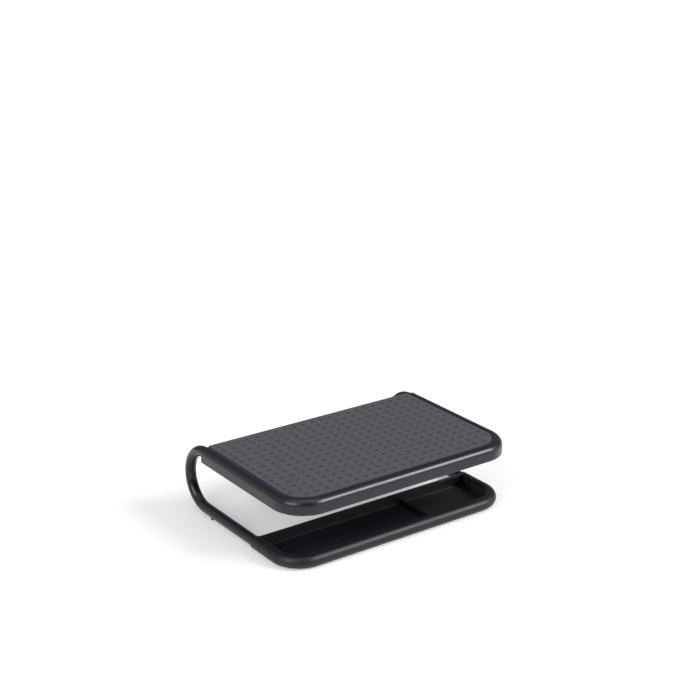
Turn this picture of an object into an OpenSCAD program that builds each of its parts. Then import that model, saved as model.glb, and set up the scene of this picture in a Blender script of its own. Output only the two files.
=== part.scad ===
// Monitor riser stand: a moulded platform on two C-shaped side tubes,
// with a shallow storage tray held between the lower legs of the tubes.
// Millimetres. +X is right, +Y is the rear, +Z is up.
// The origin is the centre of the footprint, on the desk.

/* [Platform] */
// Width of the platform over its rims
platform_w = 390; // [340:5:440]
// Depth of the platform from front rim to rear edge
platform_d = 240; // [220:5:280]
// Outer radius of the two front corners in plan
platform_corner_r = 50; // [40:1:60]
// Radius of the round bead that forms the rim
platform_rim_r = 10; // [9.8:0.1:11]
// Height of the rim's crest above the top face
rim_rise = 0.95; // [0.6:0.05:1.5]
// Depth of the skirt below the axis of the rim
skirt_drop = 11.6; // [11.6:0.1:16]
// Wall thickness of the moulded platform
platform_wall = 2.4; // [2:0.1:3]
// Depth of the stiffening ribs under the platform
rib_depth = 7.5; // [4:0.5:10]
// How far the rims and skirts stop short of the platform's rear edge
rim_setback = 5; // [2:0.5:10]

/* [Grip dimples] */
// Diameter of one dimple at the top face
dimple_d = 6; // [4:0.5:8]
// Depth of one dimple
dimple_depth = 0.5; // [0.3:0.1:0.8]
// Spacing of the dimples across the platform
dimple_pitch_x = 16.25; // [12:0.05:20]
// Spacing of the dimples from front to rear
dimple_pitch_y = 15.4; // [12:0.1:20]
// Least distance from a dimple's centre to the edge of the top face
dimple_margin = 9.5; // [6:0.5:20]

/* [Side tubes] */
// Outer diameter of the steel tube
tube_d = 16; // [15:0.1:16]
// Wall thickness of the steel tube
tube_wall = 1.2; // [1:0.1:1.5]
// Radius of the rear bend, at the tube's axis
bend_r = 43.75; // [40:0.25:60]
// Height of the lower leg's axis above the desk
lower_axis_z = 10.5; // [10.5:0.1:11]
// Play between a tube and the sleeve that it slides into
tube_play = 0.1; // [0.05:0.05:0.2]

/* [Storage tray] */
// How far the tray's front stands behind the platform's front
tray_setback = 9.6; // [0:0.1:20]
// Depth of the tray from its front to the outside of its rear wall
tray_d = 95.2; // [85:0.1:110]
// Outer radius of the two front corners in plan
tray_corner_r = 47.5; // [36:0.5:48]
// Radius of the round bead that forms the tray's rim
tray_rim_r = 9.5; // [9.5:0.1:10]
// Thickness of the tray's floor and rear wall
tray_wall = 2; // [1.8:0.1:2.5]
// How far the side sleeves reach behind the rear wall
sleeve_tail = 3.2; // [1:0.1:8]
// Distance of the divider from the centre line
divider_x = 65; // [0:5:100]
// Height of the divider above the tray's floor
divider_h = 6; // [3:0.5:12]

/* [Feet] */
// Diameter of the rubber foot under each tube
rear_foot_d = 8; // [7:0.5:12]
// Distance of that foot in front of the platform's rear edge
rear_foot_inset = 18.5; // [10:0.5:40]
// Diameter of the rubber pads under the tray
pad_d = 12; // [8:0.5:14]
// Thickness of those pads
pad_t = 1.8; // [1.6:0.1:2]

/* [Hidden] */
$fn = 96;
eps = 0.5;                 // overshoot of a cut past the face that it opens

// Side view: places from front to rear
front_y = -(platform_d + bend_r + tube_d / 2) / 2;
rear_y = front_y + platform_d;
upper_axis_z = lower_axis_z + 2 * bend_r;

// Platform
rim_axis_x = platform_w / 2 - platform_rim_r;
rim_axis_y = front_y + platform_rim_r;
rim_bend_r = platform_corner_r - platform_rim_r;
top_z = upper_axis_z + platform_rim_r - rim_rise;
plate_bottom = top_z - platform_wall;
skirt_z = upper_axis_z - skirt_drop;
rim_rear_y = rear_y - rim_setback;
rear_wall_drop = 15;       // depth of the platform's rear wall below the top face
// Where the top face meets the bead, measured inwards from the bead's axis
crease_u = sqrt(pow(platform_rim_r, 2) - pow(platform_rim_r - rim_rise, 2));
crease_notch = 0.4;        // width of the fine line between top face and bead
plate_inset = crease_u + crease_notch;
plate_half_w = rim_axis_x - plate_inset;
plate_front_y = rim_axis_y + plate_inset;
plate_corner_r = rim_bend_r - plate_inset;
dimple_ball_r = (pow(dimple_d / 2, 2) + pow(dimple_depth, 2)) / (2 * dimple_depth);
dimple_columns = 2 * floor((plate_half_w - dimple_margin) / dimple_pitch_x + 0.5);
dimple_rear_y = rear_y - dimple_margin - dimple_d / 2;
dimple_rows = 1 + floor((dimple_rear_y - plate_front_y - dimple_margin) / dimple_pitch_y);
rib_t = 2;
rib_reach = 5;             // how far the ribs run under the bead, past its axis
rib_spacing_x = 60;
long_rib_count = 5;
cross_rib_inset = 50;      // first cross rib behind the platform's front
cross_rib_count = 3;

// Side tubes
tube_r = tube_d / 2;
sleeve_r = tube_r + tube_play;
upper_end_y = front_y + 60;
lower_end_y = front_y + 74;

// End plugs, pushed into the open ends of each tube
plug_play = 0.1;
plug_stem_r = tube_r - tube_wall - plug_play;
plug_stem_l = 16;
plug_flange_t = 2;
plug_gap = 0.2;            // room ahead of a plug inside its sleeve
tongue_l = 12;             // half-round tongue of the lower plug
tongue_drop = 1.9;         // flat of the tongue below the tube's axis

// Screws
screw_core_d = 3;
screw_hole_d = 3.2;        // pilot hole in tube and tongue
screw_clear_d = 4.6;
head_d = 8;
head_h = 2;
head_recess_d = 8.6;
driver_d = 2.6;            // round driver recess in the head
driver_depth = 1;
boss_r = 5.5;
boss_floor_z = upper_axis_z - tube_r - 1.5;
front_screw_y = upper_end_y + 25;
rear_screw_y = rear_y - 30;
tray_screw_y = lower_end_y - plug_flange_t - tongue_l / 2;
tray_seat_z = lower_axis_z - 7;

// Tray
tray_axis_x = rim_axis_x;
tray_front_y = front_y + tray_setback;
tray_axis_y = tray_front_y + tray_rim_r;
tray_bend_r = tray_corner_r - tray_rim_r;
tray_rear_y = tray_front_y + tray_d;
tray_bottom = lower_axis_z - tray_rim_r;
tray_top = lower_axis_z + tray_rim_r;
wall_angle = 150;          // where the inner wall leaves the bead, round its section
wall_top_u = tray_rim_r * cos(wall_angle);
wall_top_v = tray_rim_r * sin(wall_angle);
floor_v = tray_wall - tray_rim_r;
wall_foot_u = wall_top_u - (wall_top_v - floor_v) / tan(wall_angle - 90);
rear_lip_h = 2;            // thinner lip along the top of the rear wall
rear_lip_step = 0.6;
divider_t = 2;

// Feet
pad_x = rim_axis_x - 35;
front_pad_y = tray_front_y + 28;
rear_pad_y = tray_rear_y - 16;
pad_recess = pad_t - tray_bottom;
pad_recess_d = pad_d + 0.4;
foot_y = rear_y - rear_foot_inset;
foot_hole_d = 4;
foot_stem_d = 3.8;
foot_bulb_d = 5.4;

module top_platform() {
    color("#2b2c2e")
    difference() {
        union() {
            platform_shell();
            platform_ribs();
            both_sides() upper_sleeve();
        }
        grip_dimples();
        both_sides() {
            along_y(rim_axis_x, upper_axis_z, upper_end_y - plug_flange_t - plug_gap, rear_y + eps)
                circle(r = sleeve_r);
            screw_cut(front_screw_y);
            screw_cut(rear_screw_y);
        }
    }
}

// Top face, rolled rim and skirt, and the wall under the top face between the rims' rear ends
module platform_shell() {
    u_sweep(rim_axis_x, rim_axis_y, rim_rear_y, rim_bend_r) rim_section();
    translate([0, 0, plate_bottom])
        linear_extrude(platform_wall)
            front_rounded_plan(plate_half_w, plate_front_y, rear_y, plate_corner_r);
    translate([-rim_axis_x + platform_rim_r - 1, rim_rear_y - platform_wall, top_z - rear_wall_drop])
        cube([2 * (rim_axis_x - platform_rim_r + 1), platform_wall, rear_wall_drop]);
}

// Section of the platform's rim about the bead's axis, outwards along x
module rim_section() {
    translate([0, upper_axis_z])
    difference() {
        union() {
            circle(r = platform_rim_r);
            translate([0, -skirt_drop]) square([platform_rim_r, skirt_drop]);
        }
        circle(r = platform_rim_r - platform_wall);
        hollow_w = 2 * platform_rim_r - platform_wall;
        translate([-platform_rim_r - eps, -skirt_drop - eps])
            square([hollow_w + eps, skirt_drop + eps]);
        translate([-platform_rim_r - eps, -eps])
            square([platform_rim_r + eps, plate_bottom - upper_axis_z + eps]);
    }
}

module platform_ribs() {
    rib_z = plate_bottom - rib_depth;
    rib_h = rib_depth + eps;
    rib_front = rim_axis_y - rib_reach;
    for (i = [0 : long_rib_count - 1]) {
        x = (i - (long_rib_count - 1) / 2) * rib_spacing_x;
        translate([x - rib_t / 2, rib_front, rib_z])
            cube([rib_t, rim_rear_y - rib_front - platform_wall / 2, rib_h]);
    }
    half_w = rim_axis_x + rib_reach;
    step_y = (platform_d - cross_rib_inset) / cross_rib_count;
    for (i = [0 : cross_rib_count - 1])
        translate([-half_w, front_y + cross_rib_inset + i * step_y, rib_z])
            cube([2 * half_w, rib_t, rib_h]);
}

// Blind sleeve for the upper leg of the right tube, with its two screw bosses
module upper_sleeve() {
    sleeve_front = upper_end_y - plug_flange_t - plug_gap - platform_wall;
    along_y(rim_axis_x, upper_axis_z, sleeve_front, rim_rear_y) circle(r = platform_rim_r);
    for (y = [front_screw_y, rear_screw_y])
        translate([rim_axis_x, y, skirt_z])
            cylinder(r = boss_r, h = upper_axis_z - skirt_z);
}

// Clearance hole and head recess for one platform screw
module screw_cut(y) {
    translate([rim_axis_x, y, skirt_z - eps])
        cylinder(d = head_recess_d, h = boss_floor_z - skirt_z + eps);
    translate([rim_axis_x, y, skirt_z - eps])
        cylinder(d = screw_clear_d, h = upper_axis_z - skirt_z);
}

// Shallow round dimples in a grid on the top face, left out at the rounded corners
module grip_dimples() {
    for (i = [0 : dimple_columns - 1], j = [0 : dimple_rows - 1]) {
        x = (i - (dimple_columns - 1) / 2) * dimple_pitch_x;
        y = dimple_rear_y - j * dimple_pitch_y;
        if (corner_room(x, y) > dimple_d)
            translate([x, y, top_z + dimple_ball_r - dimple_depth])
                sphere(r = dimple_ball_r);
    }
}

// Distance from a point on the top face to the arc of the nearer front corner
function corner_room(x, y) =
    let (dx = abs(x) - plate_half_w + plate_corner_r, dy = plate_front_y + plate_corner_r - y)
    plate_corner_r - (dx > 0 && dy > 0 ? norm([dx, dy]) : 0);

module storage_tray() {
    color("#1d1e20")
    difference() {
        union() {
            u_sweep(tray_axis_x, tray_axis_y, tray_rear_y + sleeve_tail, tray_bend_r)
                translate([0, lower_axis_z]) circle(r = tray_rim_r);
            u_sweep(tray_axis_x, tray_axis_y, tray_rear_y, tray_bend_r) tray_wall_section();
            tray_floor_plate();
            tray_rear_wall();
            tray_divider();
        }
        rim_hollow();
        both_sides() {
            lower_sleeve_cut();
            for (y = [front_pad_y, rear_pad_y])
                translate([pad_x, y, tray_bottom - eps])
                    cylinder(d = pad_recess_d, h = pad_recess + eps);
        }
    }
}

// Inner wall of the tray: it leaves the bead at wall_angle and slopes to the floor
module tray_wall_section() {
    translate([0, lower_axis_z])
        polygon([
            [0, 0], [wall_top_u, wall_top_v], [wall_foot_u, floor_v],
            [wall_foot_u, -tray_rim_r], [0, -tray_rim_r]
        ]);
}

module tray_floor_plate() {
    inset = -wall_foot_u - 2;
    translate([0, 0, tray_bottom])
        linear_extrude(tray_wall)
            front_rounded_plan(tray_axis_x - inset, tray_axis_y + inset,
                tray_rear_y, tray_bend_r - inset);
}

// Each end of the wall runs into the bead, just short of its crest
module tray_rear_wall() {
    half_w = tray_axis_x - tray_wall / 2;
    difference() {
        translate([-half_w, tray_rear_y - tray_wall, tray_bottom])
            cube([2 * half_w, tray_wall, tray_top - tray_bottom]);
        translate([-half_w - eps, tray_rear_y - tray_wall - eps, tray_top - rear_lip_h])
            cube([2 * (half_w + eps), rear_lip_step + eps, rear_lip_h + eps]);
    }
}

module tray_divider() {
    divider_front = tray_axis_y + tray_rim_r / 2;
    translate([divider_x - divider_t / 2, divider_front, tray_bottom])
        cube([divider_t, tray_rear_y - tray_wall / 2 - divider_front, tray_wall + divider_h]);
}

// The front bead and its corners are hollow, and open underneath
module rim_hollow() {
    hollow_rear = tray_axis_y + tray_bend_r + 2;
    u_sweep(tray_axis_x, tray_axis_y, hollow_rear, tray_bend_r)
        translate([0, lower_axis_z]) {
            circle(r = tray_rim_r - tray_wall);
            translate([-tray_rim_r / 2, -tray_rim_r - eps])
                square([tray_rim_r, tray_rim_r + eps]);
        }
}

// Bore for the lower leg, half-round pocket for the plug's tongue, and screw hole
module lower_sleeve_cut() {
    bore_front = lower_end_y - plug_flange_t - plug_gap;
    along_y(tray_axis_x, lower_axis_z, bore_front, tray_rear_y + sleeve_tail + eps)
        circle(r = sleeve_r);
    along_y(tray_axis_x, lower_axis_z, bore_front - tongue_l - plug_gap, bore_front + eps)
        upper_part(sleeve_r, tongue_drop + tube_play);
    translate([tray_axis_x, tray_screw_y, tray_bottom - eps])
        cylinder(d = head_recess_d, h = tray_seat_z - tray_bottom + eps);
    translate([tray_axis_x, tray_screw_y, tray_bottom - eps])
        cylinder(d = screw_clear_d, h = lower_axis_z - tray_bottom);
}

// Right tube: two straight legs joined by a half-circle bend at the rear
module side_tube() {
    color("#1f2023")
    difference() {
        tube_path(tube_r, 0);
        tube_path(tube_r - tube_wall, eps);
        for (y = [front_screw_y, rear_screw_y])
            translate([rim_axis_x, y, upper_axis_z - tube_d])
                cylinder(d = screw_hole_d, h = tube_d);
        translate([rim_axis_x, foot_y, lower_axis_z - tube_d])
            cylinder(d = foot_hole_d, h = tube_d);
    }
}

// Solid round bar along the tube's path; its ends reach past the legs by extra
module tube_path(r, extra) {
    along_y(rim_axis_x, upper_axis_z, upper_end_y - extra, rear_y) circle(r = r);
    along_y(rim_axis_x, lower_axis_z, lower_end_y - extra, rear_y) circle(r = r);
    translate([rim_axis_x, rear_y, lower_axis_z + bend_r])
        rotate([0, 90, 0])
            rotate_extrude(angle = 180)
                translate([bend_r, 0]) circle(r = r);
}

// Plug in the end of the upper leg
module upper_end_plug() {
    color("#3a3a3c") {
        along_y(rim_axis_x, upper_axis_z, upper_end_y - plug_flange_t, upper_end_y)
            circle(r = tube_r);
        along_y(rim_axis_x, upper_axis_z, upper_end_y - plug_flange_t / 2, upper_end_y + plug_stem_l)
            circle(r = plug_stem_r);
    }
}

// Plug in the end of the lower leg; the tray's screw goes up into its tongue
module lower_end_plug() {
    flange_y = lower_end_y - plug_flange_t;
    color("#3a3a3c")
    difference() {
        union() {
            along_y(tray_axis_x, lower_axis_z, flange_y, lower_end_y) circle(r = tube_r);
            along_y(tray_axis_x, lower_axis_z, flange_y + eps, lower_end_y + plug_stem_l)
                circle(r = plug_stem_r);
            along_y(tray_axis_x, lower_axis_z, flange_y - tongue_l, flange_y + eps)
                upper_part(tube_r, tongue_drop);
        }
        translate([tray_axis_x, tray_screw_y, lower_axis_z - tube_d])
            cylinder(d = screw_hole_d, h = tube_d + 4);
    }
}

// Pan-head screw that points up; its head's seat is at the given height
module screw(x, y, seat_z, length) {
    color("#8d9094")
    translate([x, y, seat_z])
        difference() {
            union() {
                cylinder(d = screw_core_d, h = length);
                translate([0, 0, -head_h / 2]) cylinder(d = head_d, h = head_h / 2);
                translate([0, 0, -head_h])
                    cylinder(d1 = head_d * 0.7, d2 = head_d, h = head_h / 2);
            }
            translate([0, 0, -head_h - eps]) cylinder(d = driver_d, h = driver_depth + eps);
        }
}

module platform_screw(y) {
    screw(rim_axis_x, y, boss_floor_z, 6);
}

module tray_screw() {
    screw(tray_axis_x, tray_screw_y, tray_seat_z, 10);
}

// Rubber button under the tube, held by a stem through the tube's lower wall
module rear_foot() {
    inner_bottom = lower_axis_z - tube_r + tube_wall;
    color("#2a2a2a")
    difference() {
        union() {
            translate([rim_axis_x, foot_y, 0])
                cylinder(d1 = rear_foot_d - 1, d2 = rear_foot_d, h = 0.6);
            translate([rim_axis_x, foot_y, 0.6])
                cylinder(d = rear_foot_d, h = lower_axis_z - tube_r + 1);
        }
        along_y(rim_axis_x, lower_axis_z, foot_y - rear_foot_d, foot_y + rear_foot_d)
            circle(r = tube_r + 0.02);
    }
    color("#2a2a2a") {
        translate([rim_axis_x, foot_y, 1])
            cylinder(d = foot_stem_d, h = inner_bottom + 0.2);
        translate([rim_axis_x, foot_y, inner_bottom + 0.7])
            cylinder(d1 = foot_bulb_d, d2 = foot_stem_d / 2, h = 2.2);
    }
}

module tray_pad(y) {
    color("#2a2a2a")
    translate([pad_x, y, 0]) {
        cylinder(d1 = pad_d - 0.8, d2 = pad_d, h = 0.4);
        translate([0, 0, 0.4]) cylinder(d = pad_d, h = pad_t - 0.4);
    }
}

// Copies its children to the left-hand side
module both_sides() {
    children();
    mirror([1, 0, 0]) children();
}

module left() {
    mirror([1, 0, 0]) children();
}

// Section children extruded along Y, centred on the line through x and z
module along_y(x, z, y_from, y_to) {
    translate([x, y_to, z])
        rotate([90, 0, 0])
            linear_extrude(y_to - y_from) children();
}

// Part of a disc above a chord that lies drop below its centre
module upper_part(r, drop) {
    intersection() {
        circle(r = r);
        translate([-r, -drop]) square([2 * r, r + drop]);
    }
}

// Plan of a plate with square rear corners and two rounded front corners
module front_rounded_plan(half_w, y_front, y_rear, r) {
    translate([-half_w + r, y_front]) square([2 * (half_w - r), y_rear - y_front]);
    translate([-half_w, y_front + r]) square([2 * half_w, y_rear - y_front - r]);
    for (x = [-half_w + r, half_w - r])
        translate([x, y_front + r]) circle(r = r);
}

// Sweeps a section round left side, front and right side.
// The section's x points outwards from the path, and its y is height.
module u_sweep(half_w, y_front, y_rear, bend) {
    translate([half_w - bend, y_front, 0])
        rotate([90, 0, -90])
            linear_extrude(2 * (half_w - bend)) children();
    both_sides() {
        translate([half_w, y_rear, 0])
            rotate([90, 0, 0])
                linear_extrude(y_rear - y_front - bend) children();
        translate([half_w - bend, y_front + bend, 0])
            rotate([0, 0, -90])
                rotate_extrude(angle = 90)
                    translate([bend, 0]) children();
    }
}

top_platform();
storage_tray();
left() side_tube();  // left_side_tube
side_tube();  // right_side_tube
left() upper_end_plug();  // left_upper_end_plug
upper_end_plug();  // right_upper_end_plug
left() lower_end_plug();  // left_lower_end_plug
lower_end_plug();  // right_lower_end_plug
left() platform_screw(front_screw_y);  // left_front_platform_screw
platform_screw(front_screw_y);  // right_front_platform_screw
left() platform_screw(rear_screw_y);  // left_rear_platform_screw
platform_screw(rear_screw_y);  // right_rear_platform_screw
left() tray_screw();  // left_tray_screw
tray_screw();  // right_tray_screw
left() rear_foot();  // left_rear_foot
rear_foot();  // right_rear_foot
left() tray_pad(front_pad_y);  // left_front_tray_pad
tray_pad(front_pad_y);  // right_front_tray_pad
left() tray_pad(rear_pad_y);  // left_rear_tray_pad
tray_pad(rear_pad_y);  // right_rear_tray_pad
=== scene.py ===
"""Monitor riser stand: looks, studio and camera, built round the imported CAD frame. Metres."""
from math import asin, atan2, cos, floor, hypot, pi, radians, sin, sqrt, tan

import bmesh
import bpy
from mathutils import Matrix, Vector
from mathutils.geometry import delaunay_2d_cdt


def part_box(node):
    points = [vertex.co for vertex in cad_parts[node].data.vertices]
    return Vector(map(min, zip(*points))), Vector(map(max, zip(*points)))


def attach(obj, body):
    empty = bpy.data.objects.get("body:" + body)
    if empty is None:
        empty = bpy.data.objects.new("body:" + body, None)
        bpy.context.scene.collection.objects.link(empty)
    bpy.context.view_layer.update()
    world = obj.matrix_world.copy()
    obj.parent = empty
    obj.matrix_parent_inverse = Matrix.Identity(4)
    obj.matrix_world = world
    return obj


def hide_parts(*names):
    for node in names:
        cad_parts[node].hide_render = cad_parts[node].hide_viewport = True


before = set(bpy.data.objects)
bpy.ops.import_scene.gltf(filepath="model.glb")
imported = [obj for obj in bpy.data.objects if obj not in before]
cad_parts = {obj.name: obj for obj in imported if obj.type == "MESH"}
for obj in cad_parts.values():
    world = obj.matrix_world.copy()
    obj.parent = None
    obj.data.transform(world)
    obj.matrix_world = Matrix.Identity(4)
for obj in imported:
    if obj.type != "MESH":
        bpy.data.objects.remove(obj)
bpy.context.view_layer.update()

MM = 0.001
SIDES = {"left": -1, "right": 1}
PLATFORM_SCREWS = ("front_platform", "rear_platform")
FULL_TURN = 2 * pi

# End plugs
FLANGE_T = 2 * MM
TONGUE_L = 12 * MM             # a lower plug's tongue, ahead of its flange
TONGUE_DROP = 1.9 * MM         # flat of the tongue below the tube's axis

# Places and sizes that the frame gives
platform_low, platform_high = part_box("top_platform")
tray_low, tray_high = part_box("storage_tray")
tube_low, tube_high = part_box("right_side_tube")
upper_plug_low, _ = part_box("right_upper_end_plug")
lower_plug_low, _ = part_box("right_lower_end_plug")
TUBE_R = (tube_high.x - tube_low.x) / 2
AXIS_X = (tube_high.x + tube_low.x) / 2
UPPER_Z = tube_high.z - TUBE_R
LOWER_Z = tube_low.z + TUBE_R
BEND_R = (UPPER_Z - LOWER_Z) / 2
BEND_Y = tube_high.y - BEND_R - TUBE_R
UPPER_END_Y = upper_plug_low.y + FLANGE_T
LOWER_END_Y = lower_plug_low.y + TONGUE_L + FLANGE_T
UPPER_BORE_Y = upper_plug_low.y - 0.2 * MM    # front end of the bore in a platform sleeve
LOWER_BORE_Y = lower_plug_low.y - 0.4 * MM    # and in a tray sleeve

# Side tubes
TUBE_WALL = 1.2 * MM
BEND_FLATTENING = 0.5 * MM     # how much the outside of the bend is pressed in
BORE_R = TUBE_R + 0.1 * MM
FOOT_HOLE_R = 2 * MM

# Platform
RIM_R = 10 * MM
RIM_AXIS_Y = platform_low.y + RIM_R
RIM_REAR_Y = platform_high.y - 5 * MM
RIM_BEND_R = 40 * MM           # front corner, at the rim's axis
RIM_RISE = 0.95 * MM           # crest above the top face
TOP_Z = UPPER_Z + RIM_R - RIM_RISE
SKIRT_Z = platform_low.z
SHELL = 2.4 * MM
PLATE_BOTTOM = TOP_Z - SHELL
SKIRT_EDGE_R = 0.7 * MM
CREASE_U = sqrt(RIM_R ** 2 - (RIM_R - RIM_RISE) ** 2)    # from the rim's axis in to its crease
CREASE_EASE_H = 0.25 * MM      # how the crease's edge is eased into the groove
CREASE_EASE_W = 0.08 * MM
GROOVE_W = 0.5 * MM
GROOVE_DEPTH = 0.6 * MM
PLATE_INSET = CREASE_U + GROOVE_W
PLATE_HALF_W = AXIS_X - PLATE_INSET
PLATE_FRONT_Y = RIM_AXIS_Y + PLATE_INSET
PLATE_CORNER_R = RIM_BEND_R - PLATE_INSET
PLATE_REAR_CORNER_R = 2.5 * MM
PLATE_EDGE_R = 0.35 * MM
GUARD = 0.3 * MM               # flat strip that keeps the top face's shading even
SLEEVE_FROM = radians(125)     # where the sleeve's round starts, inside the plate and below the groove
RIB_T = 2 * MM
RIB_DEPTH = 7.5 * MM
LONG_RIBS = 5
LONG_RIB_PITCH = 60 * MM
CROSS_RIBS = 3
FIRST_CROSS_RIB = 50 * MM      # behind the platform's front
REAR_WALL_DROP = 15 * MM
BOSS_R = 5.5 * MM
FACE_GAP = 0.1 * MM            # keeps the faces of joined solids from coinciding

# Screws and their holes
HEAD_H = 2 * MM
HEAD_RECESS_R = 4.3 * MM
SHANK_R = 1.5 * MM
SCREW_CLEAR_R = 2.3 * MM
PILOT_R = 1.6 * MM
CROSS_ARM = 2.1 * MM
CROSS_HALF_T = 0.45 * MM
CROSS_DEPTH = 1.3 * MM

# Grip dimples
DIMPLE_R = 3 * MM
DIMPLE_DEPTH = 0.5 * MM
DIMPLE_LIP = 0.25 * MM
DIMPLE_PITCH_X = 16.25 * MM
DIMPLE_PITCH_Y = 15.4 * MM
DIMPLE_MARGIN = 9.5 * MM
DIMPLE_STEPS = 24

# Tray
TRAY_RIM_R = 9.5 * MM
TRAY_AXIS_Y = tray_low.y + TRAY_RIM_R
TRAY_BEND_R = 38 * MM          # front corner, at the bead's axis
SLEEVE_TAIL = 3.2 * MM         # how far a sleeve runs on behind the rear wall
TRAY_REAR_Y = tray_high.y - SLEEVE_TAIL
TRAY_WALL = 2 * MM
FLOOR_Z = tray_low.z + TRAY_WALL
WALL_ANGLE = radians(150)      # where the inner wall leaves the bead, round its section
TUCK = 0.03 * MM               # how far the wall is sunk into the bead where they meet
FLOOR_FILLET = 4 * MM
FILLET_SINK = 0.001 * MM       # how far a fillet's edge lies below the top of the floor
LIP_H = 2 * MM
DIVIDER_X = 65 * MM
DIVIDER_T = 2 * MM
DIVIDER_H = 6 * MM

# Steps
ARC_STEPS = 28                 # in a quarter turn of a rim
ROUND_STEPS = 72               # round a bead or bore
TUBE_STEPS = 56                # round a tube
BEND_STEPS = 48                # along a tube's bend
SMALL_STEPS = 48               # round a screw, foot or upright hole

# Camera
CAMERA_AT = Vector((-1.17198, -1.61045, 0.96087))
CAMERA_YAW = radians(36.079)   # from +Y towards +X
CAMERA_PITCH = radians(19.813) # downwards
CAMERA_ROLL = radians(0.355)
CAMERA_LENS = 76.81            # mm
CAMERA_SENSOR = 36             # mm wide

# Studio
WHITE = (1, 1, 1, 1)
AMBIENT = 0.22
FLOOR_HALF_W = 6
FLOOR_COLOR = (0.62, 0.62, 0.62)
FLOOR_GLOW = 0.35              # the floor shines a little, like a light table


# ---- Outlines ----

def arc(center_u, center_v, radius, start, end, steps):
    """Corners, not rounded, along an arc from start to end, both in radians."""
    angles = [start + (end - start) * i / steps for i in range(steps + 1)]
    return [(center_u + radius * cos(a), center_v + radius * sin(a), 0) for a in angles]


def circle(center_u, center_v, radius, steps=ROUND_STEPS):
    return arc(center_u, center_v, radius, 0, FULL_TURN, steps)[:-1]


def quarter_turn(steps):
    return [pi / 2 * k / steps for k in range(steps + 1)]


def rounded(corners, steps=4):
    """Points of a closed outline, whose corners (u, v, radius) are rounded off."""
    points = []
    for i, (u, v, radius) in enumerate(corners):
        here = Vector((u, v))
        if radius == 0:
            points.append(here)
            continue
        before = (Vector(corners[i - 1][:2]) - here).normalized()
        after = (Vector(corners[(i + 1) % len(corners)][:2]) - here).normalized()
        half = before.angle(after) / 2
        center = here + (before + after).normalized() * radius / sin(half)
        first = here + before * radius / tan(half) - center
        last = here + after * radius / tan(half) - center
        start = atan2(first.y, first.x)
        turn = (atan2(last.y, last.x) - start + pi) % FULL_TURN - pi
        for k in range(steps + 1):
            angle = start + turn * k / steps
            points.append(center + radius * Vector((cos(angle), sin(angle))))
    return points


# ---- Solids ----

def piece_from(name, vertices, faces):
    mesh = bpy.data.meshes.new(name)
    mesh.from_pydata([tuple(v) for v in vertices], [], faces)
    return finished(name, mesh)


def finished(name, mesh):
    """An object of the mesh, with its normals outwards."""
    shape = bmesh.new()
    shape.from_mesh(mesh)
    bmesh.ops.recalc_face_normals(shape, faces=shape.faces)
    shape.to_mesh(mesh)
    shape.free()
    piece = bpy.data.objects.new(name, mesh)
    bpy.context.scene.collection.objects.link(piece)
    return piece


def skin(rings, closed=False):
    """Faces of quads between rings of equal length; the rings' own points run round."""
    size = len(rings[0])
    spans = len(rings) if closed else len(rings) - 1
    faces = []
    for i in range(spans):
        a, b = i * size, (i + 1) % len(rings) * size
        for k in range(size):
            n = (k + 1) % size
            faces.append((a + k, a + n, b + n, b + k))
    return faces


def strung(rings):
    """The rings' points in one list."""
    return [point for ring in rings for point in ring]


def prism(name, outline, along):
    """Solid between a flat outline of 3-D points and its copy moved by along."""
    rings = [[Vector(p) for p in outline], [Vector(p) + Vector(along) for p in outline]]
    size = len(outline)
    faces = skin(rings) + [tuple(range(size)), tuple(range(size, 2 * size))]
    return piece_from(name, strung(rings), faces)


def rod_y(name, x, z, radius, y_from, y_to):
    outline = [(u, y_from, v) for u, v, _ in circle(x, z, radius)]
    return prism(name, outline, (0, y_to - y_from, 0))


def rod_z(name, x, y, radius, z_from, z_to):
    outline = [(u, v, z_from) for u, v, _ in circle(x, y, radius, SMALL_STEPS)]
    return prism(name, outline, (0, 0, z_to - z_from))


def block(name, low, high):
    outline = [(low[0], low[1], low[2]), (high[0], low[1], low[2]),
               (high[0], high[1], low[2]), (low[0], high[1], low[2])]
    return prism(name, outline, (0, 0, high[2] - low[2]))


def lathe(name, x, y, profile):
    """Solid turned about an upright line at x and y. Profile: (radius, z), both ends on the line."""
    vertices = [Vector((x, y, profile[0][1])), Vector((x, y, profile[-1][1]))]
    turns = [FULL_TURN * k / SMALL_STEPS for k in range(SMALL_STEPS)]
    rings = [[Vector((x + r * cos(a), y + r * sin(a), z)) for a in turns] for r, z in profile[1:-1]]
    faces = [tuple(i + 2 for i in face) for face in skin(rings)]
    last = 2 + (len(rings) - 1) * SMALL_STEPS
    for k in range(SMALL_STEPS):
        n = (k + 1) % SMALL_STEPS
        faces.append((0, 2 + n, 2 + k))
        faces.append((1, last + k, last + n))
    return piece_from(name, vertices + strung(rings), faces)


def u_stations(half_w, y_front, y_rear, bend):
    """Stations (x, y, outwards x, outwards y) along the left side, the front and the right side."""
    stations = [(-half_w, y_rear, -1, 0)]
    for side, start in ((-1, pi), (1, 1.5 * pi)):
        for x, y, _ in arc(0, 0, 1, start, start + pi / 2, ARC_STEPS):
            stations.append((side * (half_w - bend) + bend * x, y_front + bend * (1 + y), x, y))
    return stations + [(half_w, y_rear, 1, 0)]


def u_rings(section, stations):
    return [[Vector((x + out_x * u, y + out_y * u, v)) for u, v in section]
            for x, y, out_x, out_y in stations]


def u_sweep(name, section, *route):
    """Solid swept along u_stations(*route). The section's points are (outwards, height)."""
    rings = u_rings(section, u_stations(*route))
    size = len(section)
    last = (len(rings) - 1) * size
    faces = skin(rings) + [tuple(range(size)), tuple(range(last, last + size))]
    return piece_from(name, strung(rings), faces)


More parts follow.
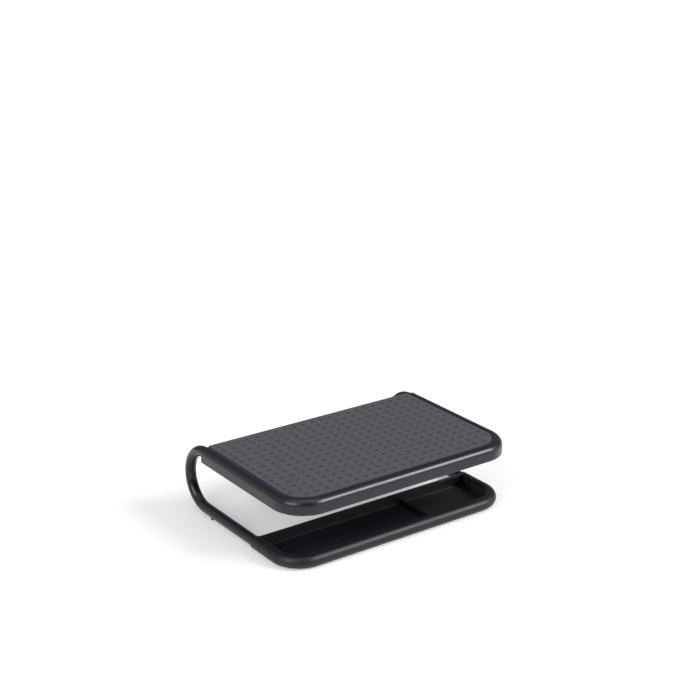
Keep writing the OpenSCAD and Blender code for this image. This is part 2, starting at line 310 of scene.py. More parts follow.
def u_pan(name, section, *route):
    """As u_sweep, but the floor between the section's first and last points is filled in."""
    rings = u_rings(section, u_stations(*route))
    size = len(section)
    count = len(rings)
    faces = [f for i, f in enumerate(skin(rings)) if i % size != size - 1]
    faces.append(tuple(i * size for i in range(count)))
    faces.append(tuple(i * size + size - 1 for i in range(count)))
    faces.append(tuple(range(size)) + tuple(reversed(range((count - 1) * size, count * size))))
    return piece_from(name, strung(rings), faces)


def bake(piece):
    """Applies the piece's modifiers."""
    evaluated = piece.evaluated_get(bpy.context.evaluated_depsgraph_get())
    mesh = bpy.data.meshes.new_from_object(evaluated)
    piece.modifiers.clear()
    piece.data = mesh


def drop_empty_slots(materials):
    """A boolean leaves an empty material slot for a tool that has no material."""
    for index in reversed(range(len(materials))):
        if materials[index] is None:
            materials.pop(index=index)


def combine(piece, operation, tools):
    """Joins the tools to the piece or cuts them out of it, and removes them."""
    for tool in tools:
        modifier = piece.modifiers.new(tool.name, "BOOLEAN")
        modifier.operation = operation
        modifier.solver = "MANIFOLD"
        modifier.object = tool
    bake(piece)
    for tool in tools:
        bpy.data.objects.remove(tool)
    drop_empty_slots(piece.data.materials)
    return piece


def soften(piece, width, chosen):
    """Rounds off the sharp edges whose middle satisfies chosen."""
    shape = bmesh.new()
    shape.from_mesh(piece.data)
    edges = [e for e in shape.edges if e.is_manifold and e.calc_face_angle() > radians(50)
             and chosen((e.verts[0].co + e.verts[1].co) / 2)]
    bmesh.ops.bevel(shape, geom=edges, offset=width, offset_type="OFFSET", segments=3,
                    profile=0.5, affect="EDGES", clamp_overlap=True)
    shape.to_mesh(piece.data)
    shape.free()
    return piece


def shade(piece):
    """Smooth shading, broken at the sharp edges."""
    shape = bmesh.new()
    shape.from_mesh(piece.data)
    bmesh.ops.remove_doubles(shape, verts=shape.verts, dist=0.001 * MM)
    for face in shape.faces:
        face.smooth = True
    for edge in shape.edges:
        edge.smooth = edge.is_manifold and edge.calc_face_angle() < radians(32)
    shape.to_mesh(piece.data)
    shape.free()
    return piece


def upright(node):
    """A node's middle x and y, its radius, and its lowest and highest z."""
    low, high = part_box(node)
    return (low.x + high.x) / 2, (low.y + high.y) / 2, (high.x - low.x) / 2, low.z, high.z


# ---- Platform ----

def rim_section():
    """Rolled rim with its skirt, and the groove where it meets the top face."""
    inner_r = RIM_R - SHELL
    root_v = PLATE_BOTTOM + 0.05 * MM - UPPER_Z
    crease_v = RIM_R - RIM_RISE
    crease_angle = pi - asin(crease_v / RIM_R)
    root_angle = pi - asin(root_v / inner_r)
    root_u = -PLATE_INSET - 1.5 * MM
    skirt_v = SKIRT_Z - UPPER_Z
    corners = [(root_u, crease_v - GROOVE_DEPTH, 0), (-CREASE_U, crease_v - GROOVE_DEPTH, 0)]
    corners += [(-CREASE_U, crease_v - CREASE_EASE_H, 0)]
    corners += [(-CREASE_U + CREASE_EASE_W, crease_v - 0.06 * MM, 0)]
    corners += arc(0, 0, RIM_R, crease_angle - 0.03, 0, 40)
    corners += [(RIM_R, skirt_v, SKIRT_EDGE_R), (inner_r, skirt_v, SKIRT_EDGE_R)]
    corners += arc(0, 0, inner_r, 0, root_angle, 24)
    corners += [(root_u, root_v, 0)]
    return [(p.x, p.y + UPPER_Z) for p in rounded(corners)]


def plate_outline(inset, z):
    """Outline of the top face: large front corners and small rear ones."""
    half_w = PLATE_HALF_W - inset
    front = PLATE_FRONT_Y + inset
    rear = platform_high.y - inset
    front_r = PLATE_CORNER_R - inset
    rear_r = PLATE_REAR_CORNER_R - inset
    points = []
    for side, y, r, start in ((-1, front, front_r, pi), (1, front, front_r, 1.5 * pi),
                              (1, rear, rear_r, 0), (-1, rear, rear_r, pi / 2)):
        inward = r if y == front else -r
        points += arc(side * (half_w - r), y + inward, r, start, start + pi / 2, ARC_STEPS)
    return [Vector((x, y, z)) for x, y, _ in points]


def dimple_centers():
    columns = 2 * floor((PLATE_HALF_W - DIMPLE_MARGIN) / DIMPLE_PITCH_X + 0.5)
    first_y = platform_high.y - DIMPLE_MARGIN - DIMPLE_R
    rows = 1 + floor((first_y - PLATE_FRONT_Y - DIMPLE_MARGIN) / DIMPLE_PITCH_Y)
    centers = []
    for j in range(rows):
        for i in range(columns):
            x = (i - (columns - 1) / 2) * DIMPLE_PITCH_X
            y = first_y - j * DIMPLE_PITCH_Y
            past_x = abs(x) - PLATE_HALF_W + PLATE_CORNER_R
            past_y = PLATE_FRONT_Y + PLATE_CORNER_R - y
            used = hypot(past_x, past_y) if past_x > 0 and past_y > 0 else 0
            if PLATE_CORNER_R - used > 2 * DIMPLE_R:
                centers.append((x, y))
    return centers


def dimple_profile():
    """(radius, depth) rings from the guard strip down a rounded lip into a spherical bowl."""
    ball_r = (DIMPLE_R ** 2 + DIMPLE_DEPTH ** 2) / (2 * DIMPLE_DEPTH)
    inner = DIMPLE_R - DIMPLE_LIP
    outer = DIMPLE_R + DIMPLE_LIP

    def bowl(r):
        return sqrt(ball_r ** 2 - r ** 2) - ball_r + DIMPLE_DEPTH

    lip = [(outer - 2 * DIMPLE_LIP * t, bowl(inner) * t * t) for t in (0, 0.35, 0.7, 1)]
    return [(outer + GUARD, 0)] + lip + [(inner * t, bowl(inner * t)) for t in (0.78, 0.54, 0.28)]


def dimple_bowl(x, y):
    """One dimple's points, ring by ring to its middle, and its faces."""
    profile = dimple_profile()
    turns = [FULL_TURN * k / DIMPLE_STEPS for k in range(DIMPLE_STEPS)]
    points = [Vector((x + r * cos(a), y + r * sin(a), TOP_Z - depth))
              for r, depth in profile for a in turns]
    points.append(Vector((x, y, TOP_Z - DIMPLE_DEPTH)))
    middle = len(points) - 1
    inmost = middle - DIMPLE_STEPS
    faces = skin([turns] * len(profile))
    faces += [(inmost + k, inmost + (k + 1) % DIMPLE_STEPS, middle) for k in range(DIMPLE_STEPS)]
    return points, faces


def grip_plate():
    """Plate of the top face with its dimples, and the numbers of its first field and dimple faces."""
    levels = [(0, PLATE_BOTTOM)]
    levels += [(PLATE_EDGE_R * (1 - cos(a)), TOP_Z - PLATE_EDGE_R * (1 - sin(a)))
               for a in quarter_turn(4)]
    levels += [(PLATE_EDGE_R + GUARD, TOP_Z)]
    rings = [plate_outline(inset, z) for inset, z in levels]
    size = len(rings[0])
    vertices = strung(rings)
    faces = skin(rings) + [tuple(range(size))]
    field_from = len(faces)
    loops = [list(range(len(vertices) - size, len(vertices)))]
    bowls = []
    for x, y in dimple_centers():
        start = len(vertices)
        bowl_points, bowl_faces = dimple_bowl(x, y)
        vertices += bowl_points
        loops.append(list(range(start, start + DIMPLE_STEPS)))
        bowls += [tuple(start + i for i in face) for face in bowl_faces]
    faces += field_faces(vertices, loops)
    bowls_from = len(faces)
    return piece_from("grip_plate", vertices, faces + bowls), field_from, bowls_from


def field_faces(vertices, loops):
    """Flat triangles between the edge loop and the dimples' loops."""
    used = [i for loop in loops for i in loop]
    place = {index: n for n, index in enumerate(used)}
    edges = [(place[loop[k - 1]], place[loop[k]]) for loop in loops for k in range(len(loop))]
    points = [vertices[i].xy for i in used]
    _, _, triangles, origin, _, _ = delaunay_2d_cdt(points, edges, [], 1, 1e-7)
    owner = {}
    for number, loop in enumerate(loops[1:]):
        for i in loop:
            owner[i] = number
    faces = []
    for triangle in triangles:
        corners = [used[origin[i][0]] for i in triangle]
        owners = {owner.get(i, -1) for i in corners}
        if len(owners) == 1 and -1 not in owners:
            continue
        faces.append(tuple(corners))
    return faces


def platform_ribs():
    low_z = PLATE_BOTTOM - RIB_DEPTH
    high_z = PLATE_BOTTOM + 0.5 * MM
    front = RIM_AXIS_Y - 5 * MM
    half_w = AXIS_X + 5 * MM
    rear = RIM_REAR_Y - SHELL / 2
    cross_pitch = (platform_high.y - platform_low.y - FIRST_CROSS_RIB) / CROSS_RIBS
    ribs = []
    for i in range(LONG_RIBS):
        x = (i - (LONG_RIBS - 1) / 2) * LONG_RIB_PITCH
        ribs.append(block(f"long_rib_{i}", (x - RIB_T / 2, front, low_z), (x + RIB_T / 2, rear, high_z)))
    for i in range(CROSS_RIBS):
        y = platform_low.y + FIRST_CROSS_RIB + i * cross_pitch
        ribs.append(block(f"cross_rib_{i}", (-half_w, y, low_z), (half_w, y + RIB_T, high_z)))
    return ribs


def screw_places(kind):
    """(side, x, y, lowest z) of the frame's screws of one kind, such as front_platform."""
    places = []
    for side in SIDES:
        x, y, _, low_z, _ = upright(f"{side}_{kind}_screw")
        places.append((side, x, y, low_z))
    return places


def platform_sleeve(side):
    """Round that closes the rim into a sleeve. It starts inside the plate, clear of the groove."""
    x = SIDES[side] * AXIS_X
    front, rear = UPPER_BORE_Y - SHELL, RIM_REAR_Y - FACE_GAP
    start, end = (SLEEVE_FROM, FULL_TURN) if side == "right" else (-pi, pi - SLEEVE_FROM)
    outline = [(x, front, UPPER_Z)]
    outline += [(u, front, v) for u, v, _ in arc(x, UPPER_Z, RIM_R - FACE_GAP, start, end, ROUND_STEPS)]
    return prism(f"{side}_sleeve", outline, (0, rear - front, 0))


def platform_rear_wall():
    half_w = AXIS_X - RIM_R + MM
    return block("rear_wall", (-half_w, RIM_REAR_Y - SHELL, TOP_Z - REAR_WALL_DROP),
                 (half_w, RIM_REAR_Y - 2 * FACE_GAP, PLATE_BOTTOM + 0.4 * MM))


def top_platform():
    """The platform, with its rim in material 0, the top's field in 1 and its dimples in 2."""
    rim = u_sweep("rim", rim_section(), AXIS_X, RIM_AXIS_Y, RIM_REAR_Y, RIM_BEND_R)
    plate, field_from, bowls_from = grip_plate()
    for i, face in enumerate(plate.data.polygons):
        face.material_index = 2 if i >= bowls_from else 1 if i >= field_from else 0
    parts = [rim, platform_rear_wall()] + platform_ribs()
    cuts = []
    for side, sign in SIDES.items():
        x = sign * AXIS_X
        parts.append(platform_sleeve(side))
        cuts.append(rod_y(f"{side}_bore", x, UPPER_Z, BORE_R, UPPER_BORE_Y, platform_high.y + MM))
    for kind in PLATFORM_SCREWS:
        for side, x, y, low_z in screw_places(kind):
            parts.append(rod_z(f"{side}_{kind}_boss", x, y, BOSS_R, SKIRT_Z + 0.05 * MM, UPPER_Z))
            cuts.append(rod_z(f"{side}_{kind}_recess", x, y, HEAD_RECESS_R, SKIRT_Z - MM, low_z + HEAD_H))
            cuts.append(rod_z(f"{side}_{kind}_hole", x, y, SCREW_CLEAR_R, SKIRT_Z - MM, UPPER_Z))
    for part in [plate] + parts:
        add_materials(part, [semi_gloss, grip_top, dimple_finish])
    combine(plate, "UNION", parts)
    combine(plate, "DIFFERENCE", cuts)
    return shade(plate)


# ---- Tray ----

def tray_section():
    """Inner wall and floor edge of the tray, from the floor's top to its underside."""
    floor_v = FLOOR_Z - LOWER_Z
    bottom_v = -TRAY_RIM_R + TUCK
    meet_r = TRAY_RIM_R - TUCK
    meet_u = meet_r * cos(WALL_ANGLE)
    meet_v = meet_r * sin(WALL_ANGLE)
    foot_u = meet_u - (meet_v - floor_v) / tan(WALL_ANGLE - pi / 2)
    floor_u = foot_u - 3 * MM
    corners = [(floor_u, floor_v, 0), (foot_u, floor_v, FLOOR_FILLET), (meet_u, meet_v, 0),
               (-4 * MM, 3 * MM, 0), (0, bottom_v, 0), (floor_u, bottom_v, 0)]
    return [(p.x, p.y + LOWER_Z) for p in rounded(corners, 8)]


def rim_hollow():
    """What is hollow inside the tray's front bead, open underneath."""
    hollow_r = TRAY_RIM_R - TRAY_WALL
    slot = TRAY_RIM_R / 2
    slot_angle = asin(slot / hollow_r)
    corners = arc(0, LOWER_Z, hollow_r, slot_angle - pi / 2, 1.5 * pi - slot_angle, 40)
    corners += [(-slot, tray_low.z - MM, 0), (slot, tray_low.z - MM, 0)]
    return u_sweep("hollow", [(u, v) for u, v, _ in corners], AXIS_X, TRAY_AXIS_Y,
                   TRAY_AXIS_Y + TRAY_BEND_R + 2 * MM, TRAY_BEND_R)


def tray_rear_wall():
    """Rear wall with a thin lip along its top and a fillet at its foot."""
    half_w = AXIS_X - TRAY_WALL / 2
    low_z = tray_low.z + MM
    top_z = LOWER_Z + TRAY_RIM_R
    lip_z = top_z - LIP_H
    foot_z = FLOOR_Z - FILLET_SINK
    front = TRAY_REAR_Y - TRAY_WALL
    lip_y = front + 0.6 * MM
    foot_y = front - 2.5 * MM
    corners = [(TRAY_REAR_Y, low_z, 0), (TRAY_REAR_Y, top_z, 0.45 * MM), (lip_y, top_z, 0.45 * MM),
               (lip_y, lip_z, 0.25 * MM), (front, lip_z, 0.25 * MM),
               (front, foot_z, 0.8 * MM), (foot_y, foot_z, 0), (foot_y, low_z, 0)]
    outline = [(-half_w, p.x, p.y) for p in rounded(corners)]
    return prism("tray_rear_wall", outline, (2 * half_w, 0, 0))


def tray_divider():
    front = TRAY_AXIS_Y + TRAY_RIM_R / 2
    top_z = FLOOR_Z + DIVIDER_H
    half = DIVIDER_T / 2
    top_half = half - 0.2 * MM
    foot = half + 1.2 * MM
    low_z = tray_low.z + MM
    foot_z = FLOOR_Z - FILLET_SINK
    corners = [(foot, low_z, 0), (foot, foot_z, 0), (half, foot_z, MM), (top_half, top_z, 0.6 * MM),
               (-top_half, top_z, 0.6 * MM), (-half, foot_z, MM), (-foot, foot_z, 0), (-foot, low_z, 0)]
    outline = [(DIVIDER_X + p.x, front, p.y) for p in rounded(corners)]
    return prism("tray_divider", outline, (0, TRAY_REAR_Y - TRAY_WALL / 2 - front, 0))


def storage_tray():
    pan = u_pan("tray_pan", tray_section(), AXIS_X, TRAY_AXIS_Y, TRAY_REAR_Y, TRAY_BEND_R)
    bead = [(u, v) for u, v, _ in circle(0, LOWER_Z, TRAY_RIM_R)]
    bead_sweep = u_sweep("tray_bead", bead, AXIS_X, TRAY_AXIS_Y, tray_high.y, TRAY_BEND_R)
    soften(bead_sweep, 0.5 * MM, lambda middle: middle.y > tray_high.y - MM)
    cuts = [rim_hollow()]
    for side, sign in SIDES.items():
        x = sign * AXIS_X
        cuts.append(rod_y(f"{side}_bore", x, LOWER_Z, BORE_R, LOWER_BORE_Y, tray_high.y + MM))
        for end in ("front", "rear"):
            pad_x, pad_y, pad_r, _, pad_top = upright(f"{side}_{end}_tray_pad")
            recess_r = pad_r + 0.2 * MM
            cuts.append(rod_z(f"{side}_{end}_recess", pad_x, pad_y, recess_r, tray_low.z - MM, pad_top))
    for side, x, y, low_z in screw_places("tray"):
        cuts.append(rod_z(f"{side}_tray_recess", x, y, HEAD_RECESS_R, tray_low.z - MM, low_z + HEAD_H))
        cuts.append(rod_z(f"{side}_tray_hole", x, y, SCREW_CLEAR_R, tray_low.z - MM, LOWER_Z))
    add_materials(pan, [tray_finish])
    combine(pan, "UNION", [bead_sweep, tray_rear_wall(), tray_divider()])
    combine(pan, "DIFFERENCE", cuts)
    return shade(pan)


# ---- Tubes ----

def tube_rings(axis_x, radius):
    """Rings along the tube's path; in the bend the outside is pressed in a little."""
    bend = [pi * k / BEND_STEPS for k in range(BEND_STEPS + 1)]
    places = [(UPPER_END_Y, UPPER_Z, 0)]
    places += [(BEND_Y + BEND_R * sin(a), LOWER_Z + BEND_R * (1 + cos(a)), a) for a in bend]
    places += [(LOWER_END_Y, LOWER_Z, pi)]
    rings = []
    for y, z, turned in places:
        ring = []
        for u, v, _ in circle(0, 0, radius, TUBE_STEPS):
            out = v - max(v, 0) / TUBE_R * BEND_FLATTENING * sin(turned)
            ring.append(Vector((axis_x + u, y + out * sin(turned), z + out * cos(turned))))
        rings.append(ring)
    return rings


def side_tube(side):
    """Bent tube with open ends, and the holes for its screws and foot."""
    x = SIDES[side] * AXIS_X
    rings = tube_rings(x, TUBE_R) + list(reversed(tube_rings(x, TUBE_R - TUBE_WALL)))
    tube = piece_from(f"{side}_bent_tube", strung(rings), skin(rings, closed=True))
    holes = []
    for kind in PLATFORM_SCREWS:
        _, y, _, _, _ = upright(f"{side}_{kind}_screw")
        holes.append(rod_z(f"{kind}_hole", x, y, PILOT_R, UPPER_Z - 2 * TUBE_R, UPPER_Z))
    _, y, _, _, _ = upright(f"{side}_rear_foot")
    holes.append(rod_z("foot_hole", x, y, FOOT_HOLE_R, LOWER_Z - 2 * TUBE_R, LOWER_Z))
    add_materials(tube, [tube_paint])
    return shade(combine(tube, "DIFFERENCE", holes))


# ---- Small parts ----

def screw(node):
    """Pan-head screw, head down, with a cross recess."""
    x, y, head_r, low_z, high_z = upright(node)
    seat = low_z + HEAD_H
    dome_h = 1.5 * MM
    edge = 0.15 * MM
    fillet = 0.3 * MM
    point_r = 0.3 * MM
    profile = [(0, low_z)]
    profile += [(head_r * sin(a), low_z + dome_h * (1 - cos(a))) for a in quarter_turn(7)[1:]]
    profile += [(head_r, seat - edge), (head_r - edge, seat)]
    profile += [(SHANK_R + fillet, seat), (SHANK_R, seat + fillet)]
    profile += [(SHANK_R, high_z - MM), (point_r, high_z), (0, high_z)]
    body = lathe(f"{node}_zinc", x, y, profile)
    slots = []
    for half_x, half_y in ((CROSS_ARM, CROSS_HALF_T), (CROSS_HALF_T, CROSS_ARM)):
        slots.append(block("slot", (x - half_x, y - half_y, low_z - MM),
                           (x + half_x, y + half_y, low_z + CROSS_DEPTH)))
    add_materials(body, [screw_steel])
    combine(body, "DIFFERENCE", slots)
    return shade(body)


def rounded_underside(r, low_z, edge, steps):
    """Profile of a disc's rounded lower edge."""
    return [(r - edge + edge * sin(a), low_z + edge - edge * cos(a)) for a in quarter_turn(steps)]


def tray_pad(node):
    """Rubber disc with a rounded lower edge and a shallow hollow in its underside."""
    x, y, r, low_z, high_z = upright(node)
    hollow_z = low_z + 0.15 * MM
    profile = [(0, hollow_z), (r * 0.5, hollow_z), (r * 0.56, low_z)]
    profile += rounded_underside(r, low_z, 0.45 * MM, 5)
    profile += [(r, high_z), (0, high_z)]
    pad = lathe(f"{node}_rubber", x, y, profile)
    add_materials(pad, [foot_rubber])
    return shade(pad)


def rear_foot(node):
    """Rubber button under the tube, hollowed to sit against it, with its stem inside."""
    x, y, r, low_z, high_z = upright(node)
    inner_z = LOWER_Z - TUBE_R + TUBE_WALL
    neck_z = inner_z + 0.3 * MM
    stem_r = FOOT_HOLE_R - 0.1 * MM
    barb = (2.7 * MM, inner_z + 0.8 * MM)
    button_profile = [(0, low_z)] + rounded_underside(r, low_z, 0.8 * MM, 6) + [(r, neck_z), (0, neck_z)]
    button = lathe("button", x, y, button_profile)
    saddle = rod_y("saddle", x, LOWER_Z, TUBE_R + 0.02 * MM, y - 2 * r, y + 2 * r)
    add_materials(button, [foot_rubber])
    combine(button, "DIFFERENCE", [saddle])
    stem = lathe("stem", x, y, [(0, low_z + MM), (stem_r, low_z + MM), (stem_r, neck_z), barb,
                                (stem_r / 2, high_z), (0, high_z)])
    combine(button, "UNION", [stem])
    return shade(button)


def end_plug(side, level):
    """Plug in a tube's cut end: a flange, a stem and, on a lower one, a tongue for the tray's screw."""
    node = f"{side}_{level}_end_plug"
    low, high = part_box(node)
    x = SIDES[side] * AXIS_X
    z, end_y = (UPPER_Z, UPPER_END_Y) if level == "upper" else (LOWER_Z, LOWER_END_Y)
    flange = rod_y(f"{node}_flange", x, z, TUBE_R, end_y - FLANGE_T, end_y)
    plug = soften(flange, 0.3 * MM, lambda middle: True)
    stem = rod_y("stem", x, z, TUBE_R - TUBE_WALL - 0.1 * MM, end_y - FLANGE_T / 2, high.y)
    parts = [soften(stem, 0.8 * MM, lambda middle: middle.y > end_y)]
    if level == "lower":
        tongue_r = TUBE_R - 0.05 * MM
        start = -asin(TONGUE_DROP / tongue_r)
        outline = [(u, low.y, v) for u, v, _ in arc(x, z, tongue_r, start, pi - start, ROUND_STEPS)]
        tongue = prism("tongue", outline, (0, end_y - FLANGE_T / 2 - low.y, 0))
        parts.append(soften(tongue, 0.3 * MM, lambda middle: middle.y < low.y + MM))
    add_materials(plug, [plug_finish])
    combine(plug, "UNION", parts)
    if level == "lower":
        _, screw_y, _, _, _ = upright(f"{side}_tray_screw")
        screw_hole = rod_z("screw_hole", x, screw_y, PILOT_R, z - TUBE_R, z + 2 * TUBE_R)
        combine(plug, "DIFFERENCE", [screw_hole])
    return shade(plug)


# ---- Materials ----

def add_materials(piece, materials):
    for material in materials:
        piece.data.materials.append(material)


class Finish:
    """A Principled material with helpers for its nodes."""

    def __init__(self, name, color, roughness, metallic=0.0):
        self.material = bpy.data.materials.new(name)
        self.material.use_nodes = True
        self.tree = self.material.node_tree
        self.shader = self.tree.nodes["Principled BSDF"]
        self.color = color
        self.shader.inputs["Base Color"].default_value = (*color, 1)
        self.shader.inputs["Roughness"].default_value = roughness
        self.shader.inputs["Metallic"].default_value = metallic
        self.place = self.add("ShaderNodeTexCoord").outputs["Object"]

    def add(self, kind, **settings):
        node = self.tree.nodes.new(kind)
        for key, value in settings.items():
            setattr(node, key, value)
        return node

    def link(self, output, node, name):
        self.tree.links.new(output, node.inputs[name])

    def noise(self, size, detail=3.0, roughness=0.5):
        """Noise whose features are about size metres wide."""
        node = self.add("ShaderNodeTexNoise")
        node.inputs["Scale"].default_value = 1 / size
        node.inputs["Detail"].default_value = detail
        node.inputs["Roughness"].default_value = roughness
        self.link(self.place, node, "Vector")
        return node.outputs["Fac"]

    def cells(self, size):
        """Distance to the nearest of scattered points about size metres apart."""
        node = self.add("ShaderNodeTexVoronoi", feature="SMOOTH_F1")
        node.inputs["Scale"].default_value = 1 / size
        self.link(self.place, node, "Vector")
        return node.outputs["Distance"]

    def spread(self, value, low, high, source_low=0.3, source_high=0.7):
        """Value, which runs from source_low to source_high, stretched to run from low to high."""
        node = self.add("ShaderNodeMapRange")
        limits = {"From Min": source_low, "From Max": source_high, "To Min": low, "To Max": high}
        for name, number in limits.items():
            node.inputs[name].default_value = number
        self.link(value, node, "Value")
        return node.outputs["Result"]

    def worked_out(self, operation, first, second):
        node = self.add("ShaderNodeMath", operation=operation)
        self.tree.links.new(first, node.inputs[0])
        self.tree.links.new(second, node.inputs[1])
        return node.outputs["Value"]

    def product(self, first, second):
        return self.worked_out("MULTIPLY", first, second)

    def sum(self, first, second):
        return self.worked_out("ADD", first, second)

    def edge_wear(self, amount):
        """0 on flat faces, up to amount on the worn convex edges."""
        pointiness = self.add("ShaderNodeNewGeometry").outputs["Pointiness"]
        convex = self.spread(pointiness, 0, amount, 0.53, 0.6)
        patches = self.spread(self.noise(4 * MM), 0, 1, 0.42, 0.62)
        return self.product(convex, patches)

    def tint(self, factor):
        """Base colour times a factor."""
        node = self.add("ShaderNodeVectorMath", operation="SCALE")
        node.inputs[0].default_value = self.color
        self.link(factor, node, "Scale")
        self.link(node.outputs["Vector"], self.shader, "Base Color")

    def gloss(self, value):
        self.link(value, self.shader, "Roughness")

    def bump(self, *layers):
        """Each layer is (height, depth in metres)."""
        before = None
        for height, depth in layers:
            node = self.add("ShaderNodeBump")
            node.inputs["Distance"].default_value = depth
            self.link(height, node, "Height")
            if before:
                self.link(before, node, "Normal")
            before = node.outputs["Normal"]
        self.link(before, self.shader, "Normal")


def moulded(name, color, roughness, grain, grain_depth, wear=0.5, mottling=0.07, specular=0.5):
    """Injection-moulded plastic: spark-eroded grain, faint flow clouds, worn edges."""
    finish = Finish(name, color, roughness)
    finish.shader.inputs["Specular IOR Level"].default_value = specular
    clouds = finish.spread(finish.noise(60 * MM, 4), 1 - mottling, 1 + mottling)
    speckle = finish.spread(finish.noise(grain * 2, 2), 0.94, 1.06)
    worn = finish.edge_wear(wear)
    finish.tint(finish.sum(finish.product(clouds, speckle), worn))
    smudges = finish.spread(finish.noise(25 * MM, 5, 0.6), roughness - 0.035, roughness + 0.035)
    finish.gloss(finish.sum(smudges, finish.spread(worn, 0, 0.08, 0, 0.5)))
    finish.bump((finish.noise(30 * MM, 2), 0.05 * MM), (finish.cells(grain), grain_depth),
                (finish.noise(grain / 2, 2), grain_depth / 2))
    return finish.material


def painted_tube():
    """Powder coat on steel tube: fine orange peel and a few rubbed spots."""
    finish = Finish("tube_paint", TUBE_COLOR, TUBE_ROUGHNESS)
    finish.shader.inputs["Specular IOR Level"].default_value = 0.42
    finish.tint(finish.spread(finish.noise(40 * MM, 4), 0.92, 1.08))
    rubbed = finish.noise(12 * MM, 5, 0.6)
    finish.gloss(finish.spread(rubbed, TUBE_ROUGHNESS - 0.04, TUBE_ROUGHNESS + 0.04))
    finish.bump((finish.noise(1.6 * MM, 2), 0.012 * MM), (finish.noise(0.4 * MM, 2), 0.004 * MM))
    return finish.material


def zinc():
    finish = Finish("screw_steel", ZINC_COLOR, 0.32, metallic=1.0)
    finish.tint(finish.spread(finish.noise(1.5 * MM, 4), 0.85, 1.1))
    finish.gloss(finish.spread(finish.noise(0.8 * MM, 4), 0.24, 0.42))
    finish.bump((finish.noise(0.3 * MM, 3), 0.004 * MM))
    return finish.material


def rubber():
    finish = Finish("foot_rubber", RUBBER_COLOR, 0.8)
    finish.tint(finish.spread(finish.noise(3 * MM, 4), 0.85, 1.25))
    finish.gloss(finish.spread(finish.noise(2 * MM, 4), 0.7, 0.88))
    finish.bump((finish.noise(0.35 * MM, 3), 0.02 * MM))
    return finish.material


RIM_COLOR = (0.0065, 0.0068, 0.0125)
TOP_COLOR = (0.067, 0.067, 0.075)
DIMPLE_COLOR = (0.041, 0.041, 0.046)
MATT_SPECULAR = 0.25           # a coarse grain reflects less than a smooth skin does
TRAY_COLOR = (0.0045, 0.0047, 0.0085)
PLUG_COLOR = (0.03, 0.03, 0.032)
TUBE_COLOR = (0.0065, 0.0068, 0.0125)
TUBE_ROUGHNESS = 0.24
ZINC_COLOR = (0.55, 0.56, 0.58)
RUBBER_COLOR = (0.012, 0.012, 0.014)

semi_gloss = moulded("platform_rim", RIM_COLOR, roughness=0.27, specular=0.45,
                     grain=0.5 * MM, grain_depth=0.006 * MM)
grip_top = moulded("platform_top", TOP_COLOR, roughness=0.76, specular=MATT_SPECULAR,
                   grain=0.7 * MM, grain_depth=0.03 * MM, wear=0, mottling=0.03)
dimple_finish = moulded("platform_dimples", DIMPLE_COLOR, roughness=0.68, specular=MATT_SPECULAR,
                        grain=0.6 * MM, grain_depth=0.008 * MM, wear=0.2, mottling=0.03)
tray_finish = moulded("tray_plastic", TRAY_COLOR, roughness=0.45, specular=0.4,
                      grain=0.5 * MM, grain_depth=0.006 * MM)
plug_finish = moulded("plug_plastic", PLUG_COLOR, roughness=0.45, grain=0.5 * MM, grain_depth=0.01 * MM)
tube_paint = painted_tube()
screw_steel = zinc()
foot_rubber = rubber()


# ---- Studio ----

def direction(azimuth, elevation):
    """Unit vector; azimuth turns from +Y towards +X. Both are in radians."""
    return Vector((sin(azimuth) * cos(elevation), cos(azimuth) * cos(elevation), sin(elevation)))


def add_camera():
    ahead = direction(CAMERA_YAW, -CAMERA_PITCH)
    level = Vector((cos(CAMERA_YAW), -sin(CAMERA_YAW), 0))
    above = level.cross(ahead)
    right = level * cos(CAMERA_ROLL) + above * sin(CAMERA_ROLL)
    up = right.cross(ahead)
    data = bpy.data.cameras.new("camera")
    data.lens = CAMERA_LENS
    data.sensor_width = CAMERA_SENSOR
    camera = bpy.data.objects.new("camera", data)
    bpy.context.scene.collection.objects.link(camera)
    turn = Matrix((right, up, -ahead)).transposed().to_4x4()
    camera.matrix_world = Matrix.Translation(CAMERA_AT) @ turn
    bpy.context.scene.camera = camera


def add_floor():
    half = FLOOR_HALF_W
    corners = [(-half, -half, 0), (half, -half, 0), (half, half, 0), (-half, half, 0)]
    ground = piece_from("floor", corners, [(0, 1, 2, 3)])
    finish = Finish("pale_floor", FLOOR_COLOR, 0.9)
    finish.shader.inputs["Emission Color"].default_value = WHITE
    finish.shader.inputs["Emission Strength"].default_value = FLOOR_GLOW
    add_materials(ground, [finish.material])


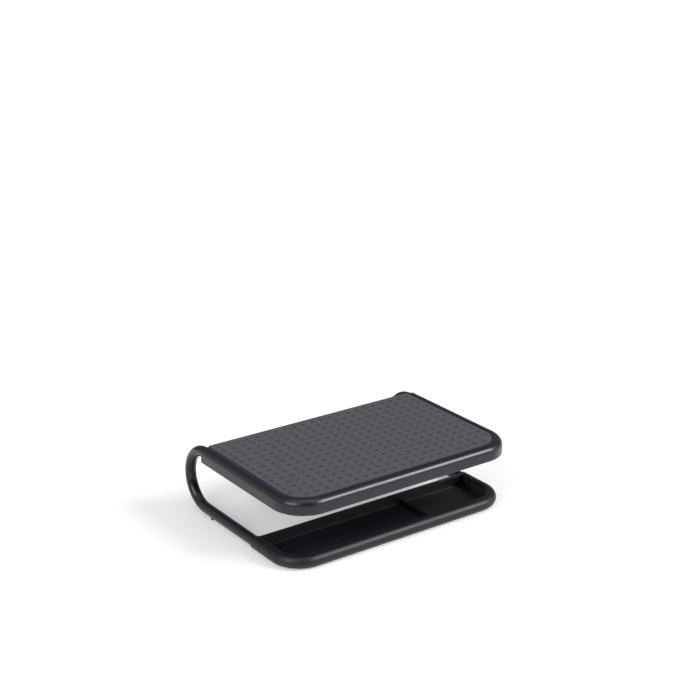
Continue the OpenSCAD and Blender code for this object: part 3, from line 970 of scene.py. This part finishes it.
def add_light(name, azimuth, elevation, spread, brightness):
    """Distant softbox at an azimuth and elevation, and spread degrees across."""
    data = bpy.data.lights.new(name, "SUN")
    data.angle = radians(spread)
    data.energy = brightness * pi * sin(radians(spread) / 2) ** 2
    light = bpy.data.objects.new(name, data)
    bpy.context.scene.collection.objects.link(light)
    source = direction(radians(azimuth), radians(elevation))
    light.rotation_euler = (-source).to_track_quat("-Z", "Y").to_euler()


def add_world():
    """Dim ambient light, with a white backdrop behind the floor's far edge."""
    world = bpy.data.worlds.new("studio")
    bpy.context.scene.world = world
    world.use_nodes = True
    nodes, links = world.node_tree.nodes, world.node_tree.links
    ambient = nodes["Background"]
    ambient.inputs["Color"].default_value = WHITE
    ambient.inputs["Strength"].default_value = AMBIENT
    backdrop = nodes.new("ShaderNodeBackground")
    backdrop.inputs["Color"].default_value = WHITE
    chooser = nodes.new("ShaderNodeMixShader")
    links.new(nodes.new("ShaderNodeLightPath").outputs["Is Camera Ray"], chooser.inputs["Fac"])
    links.new(ambient.outputs["Background"], chooser.inputs[1])
    links.new(backdrop.outputs["Background"], chooser.inputs[2])
    links.new(chooser.outputs["Shader"], nodes["World Output"].inputs["Surface"])


def add_studio():
    add_world()
    add_light("key", azimuth=138, elevation=35, spread=28, brightness=13)
    add_light("left_key", azimuth=253, elevation=31, spread=38, brightness=4.5)
    add_light("front_fill", azimuth=138, elevation=20, spread=70, brightness=0.6)
    add_light("overhead", azimuth=180, elevation=82, spread=60, brightness=1.1)
    add_light("left_fill", azimuth=275, elevation=30, spread=80, brightness=0.15)
    add_light("rear_left_fill", azimuth=315, elevation=20, spread=50, brightness=0.35)


# ---- The object ----

def stand_for(piece, node):
    piece.name = f"{node}_finished"
    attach(piece, "root")
    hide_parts(node)


add_camera()
stand_for(top_platform(), "top_platform")
stand_for(storage_tray(), "storage_tray")
for side in SIDES:
    stand_for(side_tube(side), f"{side}_side_tube")
    for kind in (*PLATFORM_SCREWS, "tray"):
        stand_for(screw(f"{side}_{kind}_screw"), f"{side}_{kind}_screw")
    for end in ("front", "rear"):
        stand_for(tray_pad(f"{side}_{end}_tray_pad"), f"{side}_{end}_tray_pad")
    stand_for(rear_foot(f"{side}_rear_foot"), f"{side}_rear_foot")
    for level in ("upper", "lower"):
        stand_for(end_plug(side, level), f"{side}_{level}_end_plug")
add_floor()
add_studio()
bpy.context.scene.view_settings.view_transform = "Standard"
